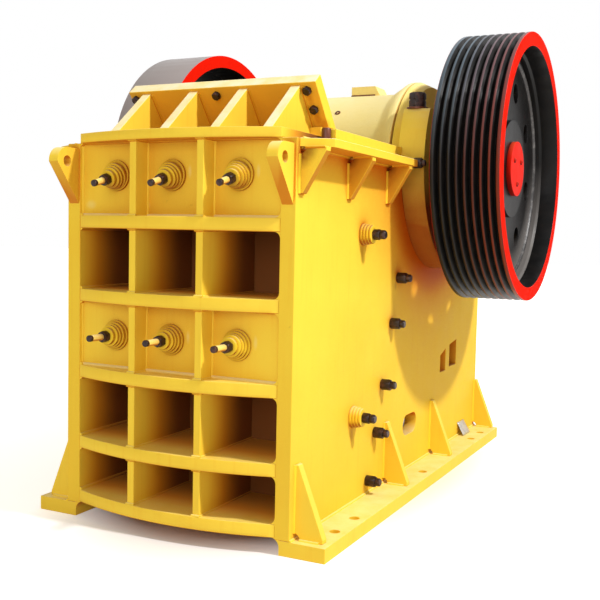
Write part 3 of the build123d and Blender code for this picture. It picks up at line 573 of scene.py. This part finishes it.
# Cheek bolts through the side plates, long bolts of the bearing caps and studs at the shelves' ends
# Black hexagon nuts on steel studs, tightened from outside. The caps are held down by double nuts on washers
# that have rusted to a flat red brown.
cheek_stands = on_sides(cheek_bolts, plate_out)
cheek_nut = ringed([0.0, 0.004, 0.060, 0.066], [0.032, 0.036, 0.036, 0.031], flats=0.064)
cheek_end = ringed([0.060, 0.064, 0.092, 0.098], [0.024, 0.0255, 0.0255, 0.020], flats=0.048)
piece("cheek_plate_bolts", copies((cheek_nut, cheek_stands), (cheek_end, cheek_stands)), black_nut)
shaft_y, shaft_z, ear_x, ear_top, ear_out = 0.4835, 2.2, 0.80, 2.557, 0.0875
ear_stands = [((side * ear_x, y, ear_top), (0, 0, 1)) for side, _ in hands
              for y in (-ear_out, 2 * shaft_y + ear_out)]
rust_steel = black_oxide("rusty_washer_steel", "#5E2C14", "#8C4416", 0.1)
cap_washer = turned([(-0.001, 0.014, 0.074)], 0.003)
piece("cap_bolt_washers", copies((cap_washer, ear_stands)), rust_steel)
ear_nut = ringed([0.012, 0.018, 0.058, 0.063, 0.065, 0.070, 0.104, 0.112],
                 [0.052, 0.058, 0.058, 0.052, 0.052, 0.058, 0.058, 0.048], flats=0.102)
piece("cap_bolt_nuts", copies((ear_nut, ear_stands)), black_nut)
clamp = ringed([0.0, 0.104, 0.106, 0.110, 0.158, 0.164, 0.166, 0.185],
               [0.022, 0.022, 0.028, 0.034, 0.034, 0.028, 0.020, 0.018], flats=0.060)
piece("shelf_end_studs", copies((clamp, on_sides([(1.452, 2.186)], plate_out))), black_nut)


# Feed guard: a thick steel plate that leans out over the front wall, welded to four gussets
# Hexagon bolts come through it from behind and have wept rust down its dusty face at the right end. Beside
# each foot stands the rusty stub of a cut-off stay.
guard_lean = math.radians(39)
guard_out = (0, -math.cos(guard_lean), -math.sin(guard_lean))
high_row, low_row = (-1.2855, 2.513), (-1.2085, 2.418)
guard_heads = [(-0.60, *high_row), (-0.60, *low_row), (-0.02, *high_row), (0.577, *high_row),
               (0.585, *low_row)]
weeping = [((0.580, -1.252, 2.468), (0.028, 0.05, 0.075)), ((0.592, -1.165, 2.366), (0.034, 0.05, 0.085)),
           ((0.620, -1.145, 2.335), (0.05, 0.06, 0.045))]
# Near white dust on the guard's tops, which also paints their highlight
guard_enamel = enamel("yellow_enamel_on_feed_guard", yellow, orange_yellow, "#FEFAE0", stains=weeping,
                      stain_colour="#A8480C", stain_most=0.4, recess=0.1, deep="#E4A830", settle=1.9)
dress(["feed_guard_plate", "feed_guard_gussets"], guard_enamel, 4.0)
head = ringed([-0.002, 0.002, 0.020, 0.026], [0.024, 0.027, 0.027, 0.021], flats=0.048)
head_stands = [(place, guard_out) for place in guard_heads]
piece("feed_guard_bolts", copies((head, head_stands)), black_nut)
guard_welds = []
slope = np.array((0, -math.sin(guard_lean), math.cos(guard_lean)))
foot_line = np.array((0, front + 0.603, 2.320))
gusset_pitch, gusset_half, lip_top, guard_rise = 0.341, 0.030, 2.256, 0.270
for step in (-1.5, -0.5, 0.5, 1.5):
    for facing in (-1, 1):
        x = step * gusset_pitch + facing * gusset_half
        guard_welds.append(((x, front + 0.11, lip_top), (x, front + 0.56, lip_top), (facing, 0, 0),
                            (0, 0, 1)))
        low, high = foot_line + (x, 0, 0), foot_line + (x, 0, 0) + slope * guard_rise
        guard_welds.append((low, high, (facing, 0, 0), guard_out))
piece("feed_guard_weld_beads", fillets(guard_welds, 0.010), weld_coat)
stub = turned([(-0.002, 0.098, 0.027)], 0.009, 24)
stub_stands = [((side * 0.703, front + 0.440, shelf_top), (0, 0, 1)) for side, _ in hands]
piece("guard_stay_stubs", copies((stub, stub_stands)), rust_steel)


# Bearing housings and caps
# Steel castings, bolted down over the side plates and painted a paler yellow. Sand cast skin under the paint
# gives a dull, pitted gleam, and a painted shade turns the coat red brown low down, where the wheels shade
# it.
cast_enamel = enamel("pale_yellow_enamel_on_casting", "#FEE45C", "#F0C444", "#FDF4C0", roughness=0.5,
                     pit_mm=14.0, recess=1.0, deep="#94380E", reach=1.0, sheen=0.06, shade_from=2.3,
                     shade_to=1.9)
dress([f"bearing_{part}_{name}" for _, name in hands for part in ("housing", "cap")], cast_enamel, 6.0, False)


# Wheels
# Grey iron castings keyed on the shaft, turned all over, the right one grooved for V belts. They are painted
# near black and glossy, with red faces on the rims.

def wheel_paint(name, dusty_rim):
    """Near black gloss enamel on a turned casting, red on the end faces of the rim.

    Red is where the radius from the shaft passes the rim's inner one, less 1 mm, and the place along the
    shaft is within 1.5 mm of the rim's ends. The web is grey below the shaft, a painted highlight of light on
    it. The tread, or the lands between the grooves, is blue grey and lighter towards the top, a painted
    reflection, and with dusty_rim pale with dust; else it turns red towards the outer end, a painted
    reflection of the red rim. Tool marks 4 mm apart circle the shaft as a fine bump.
    """
    made, tree, shader, place = blank(name, 0.14)
    xyz = add(tree, "SeparateXYZ", links={"Vector": place}).outputs
    across = add(tree, "Math", {1: shaft_y}, {0: xyz["Y"]}, operation="SUBTRACT")
    above = add(tree, "Math", {1: shaft_z}, {0: xyz["Z"]}, operation="SUBTRACT")
    flat = add(tree, "CombineXYZ", links={"X": across, "Y": above})
    radius = add(tree, "VectorMath", links={0: flat}, operation="LENGTH").outputs["Value"]
    out = add(tree, "Math", links={0: xyz["X"]}, operation="ABSOLUTE")
    rim, inside = (add(tree, "Math", {1: rim_inner - 0.001}, {0: radius}, operation=test)
                   for test in ("GREATER_THAN", "LESS_THAN"))
    outer = add(tree, "Math", {1: rim_ends[1] - 0.0015}, {0: out}, operation="GREATER_THAN")
    inner = add(tree, "Math", {1: rim_ends[0] + 0.0015}, {0: out}, operation="LESS_THAN")
    end = add(tree, "Math", links={0: outer, 1: inner}, operation="ADD")
    red = add(tree, "Math", links={0: end, 1: rim}, operation="MULTIPLY")
    cloud = add(tree, "TexNoise", {"Scale": 7.0, "Detail": 5.0, "Roughness": 0.6}, {"Vector": place})
    dusty = add(tree, "MapRange", {"From Min": 0.45, "From Max": 0.8, "To Max": 0.5}, {"Value": cloud})
    black = add(tree, "Mix", {"A": linear("#0C0B0B"), "B": linear("#1E1815")}, {"Factor": dusty},
                data_type="RGBA")
    # Painted highlight: the web below the shaft turns grey where light falls on it
    low = add(tree, "MapRange", {"From Min": 0.1, "From Max": -0.5, "To Max": 0.75}, {"Value": above})
    web = add(tree, "MapRange", {"From Min": 0.60, "From Max": 0.74}, {"Value": radius})
    for limit in (web, inside):
        low = add(tree, "Math", links={0: low, 1: limit}, operation="MULTIPLY")
    black = add(tree, "Mix", {"B": linear("#7C7876")}, {"Factor": low, "A": black}, data_type="RGBA")
    # Painted reflection: the lands are lighter towards the top, and red towards the outer end from the red
    # rim
    tread_from, tread_to = (0.900, 0.918) if dusty_rim else (0.9195, 0.9220)
    tread = add(tree, "MapRange", {"From Min": tread_from, "From Max": tread_to, "To Max": 0.9},
                {"Value": radius})
    beside, top_reflection = ("#9A9094", "#A8A0A2") if dusty_rim else ("#241F1E", "#5E6C7A")
    worn = add(tree, "MapRange", {"From Min": 0.0, "From Max": 0.75}, {"Value": above})
    worn = add(tree, "Mix", {"A": linear(beside), "B": linear(top_reflection)}, {"Factor": worn}, data_type="RGBA")
    if not dusty_rim:
        red_reflection = add(tree, "MapRange", {"From Min": 1.16, "From Max": 1.44, "To Max": 0.65}, {"Value": out})
        worn = add(tree, "Mix", {"B": linear("#8E3420")}, {"Factor": red_reflection, "A": worn}, data_type="RGBA")
    black = add(tree, "Mix", links={"Factor": tread, "A": black, "B": worn}, data_type="RGBA")
    reds = add(tree, "Mix", {"A": linear("#F41A04"), "B": linear("#D01808")}, {"Factor": dusty},
               data_type="RGBA")
    colour = add(tree, "Mix", links={"Factor": red, "A": black, "B": reds}, data_type="RGBA")
    gloss = add(tree, "MapRange", {"To Min": 0.22, "To Max": 0.46}, {"Value": cloud})
    marks = add(tree, "Math", {1: 2 * math.pi / 0.004}, {0: radius}, operation="MULTIPLY")
    marks = add(tree, "Math", links={0: marks}, operation="SINE")
    bump = add(tree, "Bump", {"Strength": 0.12, "Distance": 0.0005}, {"Height": marks})
    grain = add(tree, "TexNoise", {"Scale": 120.0, "Detail": 3.0}, {"Vector": place})
    bump = add(tree, "Bump", {"Strength": 0.15, "Distance": 0.001}, {"Height": grain, "Normal": bump})
    feed(tree, shader, {"Base Color": colour, "Roughness": gloss, "Normal": bump})
    return made


rim_inner, rim_ends = 0.830, (1.015, 1.466)
dress(["drive_sheave"], wheel_paint("black_enamel_with_red_rim_faces", False), 2.0, False)
dress(["flywheel"], wheel_paint("dusty_black_enamel_with_red_rim_faces", True), 2.5, False)


def hoop(origin, axis, middle, profile, sides=160):
    """A ring about an axis, as points and faces: the closed profile's (height, offset) pairs are carried
    round in order, at the radius middle + offset."""
    angle = np.arange(sides)[:, None] * 2 * np.pi / sides
    height, offset = np.array(profile, float).T
    radius = middle + offset[None, :]
    across, upward = radius * np.cos(angle), radius * np.sin(angle)
    ring = np.stack([across, upward, np.broadcast_to(height, across.shape)], axis=-1)
    faces = quads(sides, len(height), True)[:, [0, 3, 2, 1]]
    return copies(((ring.reshape(-1, 3), faces.tolist()), [(origin, axis)]))


# Matt red paint is brushed on the rims' end faces, 0.3 mm thick, from the inner edge to 1.5 mm short of the
# tread. It is flat and bright beside the glossy black.
matt_red = enamel("matt_red_brushed_paint", "#F01C06", "#D41606", "#F04A28", deep="#A01406", roughness=0.6,
                  rust=0.1, sheen=0.02, recess=0.3)
coat_edge = [(-0.001, 0.0450), (0.0003, 0.0448), (0.0003, -0.0448), (-0.001, -0.0450)]
coat_middle, bead_middle, bead_x = 0.8755, 0.772, 1.290
wheels = ((1, "drive_sheave"), (-1, "flywheel"))
for side, wheel in wheels:
    rings = [hoop((side * at, shaft_y, shaft_z), (out, 0, 0), coat_middle, coat_edge, 240)
             for at, out in ((rim_ends[1], side), (rim_ends[0], -side))]
    piece(f"{wheel}_rim_paint", joined(rings), matt_red, "rotor", 60)

# The raised bead is cast on the web, 58 mm inside the rim, and is grey, a painted highlight on its black coat
bead_grey = black_oxide("grey_painted_highlight_on_black_enamel", "#3C3A3A", "#8C8886", 0.3)
bead = [(-0.002, 0.016), (0.010, 0.012), (0.016, 0.004), (0.016, -0.004), (0.010, -0.012), (-0.002, -0.016)]
for side, wheel in wheels:
    ring = hoop((side * bead_x, shaft_y, shaft_z), (side, 0, 0), bead_middle, bead)
    piece(f"{wheel}_web_bead", ring, bead_grey, "rotor", 60)


# Shaft and its end caps
# The shaft is forged and turned steel, dull grey with a brown bloom. A steel plate in red enamel is held on
# each end by three cap screws, which are darker and less glossy.
red_enamel = enamel("red_enamel", "#E81A04", "#C01606", "#F0603C", deep="#8C1408", roughness=0.5, rust=0.12,
                    sheen=0.08)
dress(["shaft_caps"], red_enamel, 4.0, False)
dress(["eccentric_shaft"], black_oxide("turned_shaft_steel", "#6A6662", "#7C5A40", 0.9), 3.0, False)
cap_face, screw_circle = 1.352, 0.106
screw = ringed([-0.004, 0.006, 0.010, 0.010, 0.001], [0.017, 0.017, 0.014, 0.009, 0.0085], sides=32)
screw_stands = [((side * cap_face, shaft_y + screw_circle * math.cos(turn),
                  shaft_z + screw_circle * math.sin(turn)), (side, 0, 0))
                for side, _ in hands for turn in (math.radians(30), math.radians(150), math.radians(270))]
screw_red = enamel("red_enamel_on_screws", "#C8200C", "#7E140A", "#E0502C", deep="#4A0A06", recess=0.9)
piece("cap_screws", copies((screw, screw_stands)), screw_red, "rotor")


# Swing jaw
# One steel casting that hangs with its barrel on the eccentric. It is sand cast, which shows as wide shallow
# pits under a pale yellow coat with rust specks, and has a lug and a grease plug on the barrel.
sand_enamel = enamel("pale_enamel_on_sand_casting", "#FFEE98", "#F6DC78", "#FFF6C4", roughness=0.55,
                     pit_mm=22.0, rust=0.9, recess=0.4)
dress(["swing_jaw"], sand_enamel, 8.0, False)
barrel_z, barrel_radius, lug_before = 2.185, 0.568, 0.09
lug_y = shaft_y - lug_before
barrel_top = barrel_z + math.sqrt(barrel_radius ** 2 - lug_before ** 2)
lug_foot = ((0.102, lug_y, barrel_top), (0.291, lug_y, barrel_top), (0, -1, 0), (0, 0, 1))
piece("barrel_lug_joint", fillets([lug_foot], 0.010, ripple=0.0, step=0.02), rust_steel,
      "swing_jaw_group")
plug_y, plug_z = front + 1.811, 2.583
plug_out = np.array((0, plug_y - shaft_y, plug_z - barrel_z))
plug = ringed([-0.012, 0.004, 0.006, 0.006, -0.006], [0.020, 0.020, 0.017, 0.011, 0.010], sides=32)
piece("barrel_grease_plug", copies((plug, [((0.135, plug_y, plug_z), plug_out)])), rust_steel,
      "swing_jaw_group")


# Jaw plates and cheek plates
# Cast manganese steel, dull brown from the mould, bolted into the chamber. The tops of the fixed ones caught
# yellow overspray, which thins to plain red rust further down.
manganese = black_oxide("cast_manganese_steel", "#5C4E44", "#7A4A2A", 0.4)
dress(["swing_jaw_plate"], manganese, 3.0)
worn_bare = [((0.3, -0.9, 1.35), (4.0, 4.0, 0.9)), ((0.3, -0.9, 0.4), (4.0, 4.0, 1.5))]
overspray = enamel("overspray_on_rusty_manganese_steel", *yellows, stains=worn_bare, stain_colour="#8A3812",
                   stain_most=1.0, recess=0.3)
dress(["fixed_jaw_plate", "cheek_plate_left", "cheek_plate_right"], overspray, 3.0)


# Toggle, its beam and adjusters, the rear wall and the tension rods
# The beam is a steel box coloured orange with rust specks, a painted shade for where it shows in the side
# slots; the toggle and the rods are bare dark steel. The springs round the rods are coils of 24 mm bar,
# ground flat at their ends.
dress(["toggle_beam"], enamel("orange_enamel_painted_shade", "#D88A1C", "#A85A10", "#D8A040", rust=0.6), 4.0)
dress(["rear_wall"], plate_enamel, 4.0)
toggle_steel = black_oxide("toggle_steel", "#3A3430", "#6A4630", 0.4)
dress(["toggle_plate", "toggle_adjusters", "tension_rods"], toggle_steel, 2.0)


def coil(start, end, radius, bar, turns, around=12, along=28):
    """A coil spring, a tube of radius bar round a middle line, as points and faces.

    The line is start + u * (end - start) + radius * (cos a, sin a) across, where a grows evenly through all
    turns and u with it, but for the first and last turn, over which the pitch eases to nothing.
    """
    start, end = np.array(start, float), np.array(end, float)
    axis = (end - start) / np.linalg.norm(end - start)
    side = np.cross(axis, (0, 0, 1.0))
    up = np.cross(side, axis)
    s = np.linspace(0, 1, turns * along + 1)
    ease = np.clip(np.minimum(s, 1 - s) * turns, 0, 1)
    travel = np.cumsum(ease)
    travel = (travel - travel[0]) / (travel[-1] - travel[0])
    inset = bar / np.linalg.norm(end - start)
    travel = inset + travel * (1 - 2 * inset)
    a = 2 * np.pi * turns * s
    outward = np.cos(a)[:, None] * side + np.sin(a)[:, None] * up
    middle = start + travel[:, None] * (end - start) + radius * outward
    t = np.arange(around) * 2 * np.pi / around
    rings = middle[:, None] + bar * (np.cos(t)[None, :, None] * outward[:, None]
                                     + np.sin(t)[None, :, None] * axis)
    walls = quads(len(s), around)[:, [0, 3, 2, 1]]
    last = (len(s) - 1) * around
    ends = [list(range(around)), list(range(last + around - 1, last - 1, -1))]
    return rings.reshape(-1, 3), walls.tolist() + ends


low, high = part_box("tension_springs")
rod_x, rod_z = 0.3, (low[2] + high[2]) / 2
springs = [coil((side * rod_x, low[1], rod_z), (side * rod_x, high[1], rod_z), 0.072, 0.012, 7)
           for side, _ in hands]
coils = piece("tension_coil_springs", joined(springs), toggle_steel)
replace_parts(coils, "tension_springs")
slot_stands = on_sides([(2.800, 0.745), (2.800, 0.695)], plate_in)
beam_bolt = ringed([-0.004, 0.0, 0.014, 0.018], [0.014, 0.017, 0.017, 0.013], flats=0.030)
piece("beam_end_bolts", copies((beam_bolt, slot_stands)), spring_enamel)


# Bare plate leaning on the right foot
# A 2 mm steel sheet with a dull grey zinc coat, left blank. It stands on the base flange and leans on the
# side plate, a little bowed along its top.
sheet_foot, sheet_head, sheet_thick = (0.806, 0.0825), (0.7515, 0.190), 0.002
sheet_ends = ((2.975, 2.966), (3.160, 3.134))
grid_u, grid_v = np.meshgrid(np.linspace(0, 1, 9), np.linspace(0, 1, 7), indexing="ij")
sheet_x = sheet_foot[0] + grid_v * (sheet_head[0] - sheet_foot[0])
sheet_z = sheet_foot[1] + grid_v * (sheet_head[1] - sheet_foot[1])
sheet_y = front + (1 - grid_u) * (sheet_ends[0][0] + grid_v * (sheet_ends[0][1] - sheet_ends[0][0])) \
    + grid_u * (sheet_ends[1][0] + grid_v * (sheet_ends[1][1] - sheet_ends[1][0]))
sheet_x = sheet_x + 0.004 * np.sin(np.pi * grid_u) * grid_v
at = np.arange(9 * 7).reshape(9, 7)
sheet_faces = np.stack([at[:-1, :-1], at[1:, :-1], at[1:, 1:], at[:-1, 1:]], axis=-1).reshape(-1, 4)
sheet = np.stack([sheet_x, sheet_y, sheet_z], axis=-1).reshape(-1, 3), sheet_faces.tolist()
zinc = black_oxide("zinc_coated_sheet", "#C8C8C4", "#8E8C86", 0.6)
bare_plate = piece("bare_plate", sheet, zinc)
skin = bare_plate.modifiers.new("gauge", "SOLIDIFY")
skin.thickness = sheet_thick
skin.offset = 0


# Floor, light and camera
# A matt pale floor, which shines by itself away from the machine and so melts into the white round it. A soft
# key stands to the right and above, and a weak fill in front.

def seen(tree):
    """1 for what the camera sees straight on, in a gloss or through glass, 0 for what lights things."""
    rays = add(tree, "LightPath").outputs
    most = rays["Is Camera Ray"]
    for kind in ("Is Glossy Ray", "Is Transmission Ray"):
        most = add(tree, "Math", links={0: most, 1: rays[kind]}, operation="MAXIMUM")
    return most


floor_mesh = bpy.data.meshes.new("floor")
floor_mesh.from_pydata([(-60, -60, 0), (60, -60, 0), (60, 60, 0), (-60, 60, 0)], [], [(0, 1, 2, 3)])
floor = linked("floor", floor_mesh)
pale, ground, matt, place = blank("pale_floor")
matt.inputs["Base Color"].default_value = linear("#EDEDED")
matt.inputs["Roughness"].default_value = 0.9
matt.inputs["Emission Color"].default_value = (1, 1, 1, 1)
oval = add(ground, "Mapping", {"Scale": (1.0, 0.55, 1.0)}, {"Vector": place})
outward = add(ground, "VectorMath", links={0: oval}, operation="LENGTH").outputs["Value"]
beside = add(ground, "MapRange", {"From Min": 0.95, "From Max": 1.4, "To Max": 0.62}, {"Value": outward})
beyond = add(ground, "MapRange", {"From Min": 1.4, "From Max": 5.0, "To Max": 0.38}, {"Value": outward})
glow = add(ground, "Math", links={0: beside, 1: beyond}, operation="ADD")
glow = add(ground, "Math", links={0: seen(ground), 1: glow}, operation="MULTIPLY")
ground.links.new(glow.outputs["Value"], matt.inputs["Emission Strength"])
floor_mesh.materials.append(pale)

world = bpy.data.worlds.new("studio")
bpy.context.scene.world = world
world.use_nodes = True
sky = world.node_tree
sky.nodes.clear()
fill = add(sky, "Background", {"Color": (1, 0.87, 0.66, 1), "Strength": 0.43})
white = add(sky, "Background", {"Color": (1, 1, 1, 1), "Strength": 1.0})
both = add(sky, "MixShader", links={0: seen(sky), 1: fill, 2: white})
add(sky, "OutputWorld", links={"Surface": both})


def stand(made, place, x, y, z):
    """Puts an object at place, with its own axes along x, y and z."""
    pose = np.eye(4)
    pose[:3, :3] = np.stack([x, y, z], axis=1)
    pose[:3, 3] = place
    made.matrix_world = Matrix(pose.tolist())


def lamp(name, place, aim, size, power):
    """A square soft box at place that faces aim."""
    light = bpy.data.lights.new(name, "AREA")
    light.size = size
    light.energy = power
    back = np.array(place, float) - np.array(aim, float)
    back /= np.linalg.norm(back)
    side = np.cross((0, 0, 1), back)
    side /= np.linalg.norm(side)
    stand(linked(name, light), place, side, np.cross(back, side), back)


key_distance, aim_z = 14.0, 1.2
towards_key = np.array((1, -0.15, 1.02)) / np.linalg.norm((1, -0.15, 1.02))
lamp("key", towards_key * key_distance + (0, 0, aim_z), (0, 0, aim_z), 0.7, 1560)
lamp("front_fill", (2.0, -10.0, 4.0), (0, front, aim_z), 4.0, 195)

# The camera as fitted to the photo: its focal length and centre in pixels, its turn, tilt and roll, its place
scene = bpy.context.scene
scene.view_settings.view_transform = "Standard"
photo, focal, centre_x, centre_y, eye_place = 600, 894.04, 323.12, 301.11, (2.8733, -5.8277, 1.6970)
camera = bpy.data.cameras.new("camera")
camera.sensor_width = 36.0
camera.lens = focal / photo * 36.0
camera.shift_x = (photo / 2 - centre_x) / photo
camera.shift_y = (centre_y - photo / 2) / photo
eye = linked("camera", camera)
scene.camera = eye
turn_left, tilt_down, roll = math.radians(25.53), math.radians(4.15), math.radians(1.313)
ahead = np.array((-math.sin(turn_left) * math.cos(tilt_down), math.cos(turn_left) * math.cos(tilt_down),
                  -math.sin(tilt_down)))
level = np.array((math.cos(turn_left), math.sin(turn_left), 0.0))
upright = np.cross(level, ahead)
right = math.cos(roll) * level + math.sin(roll) * upright
up = -math.sin(roll) * level + math.cos(roll) * upright
stand(eye, eye_place, right, up, -ahead)
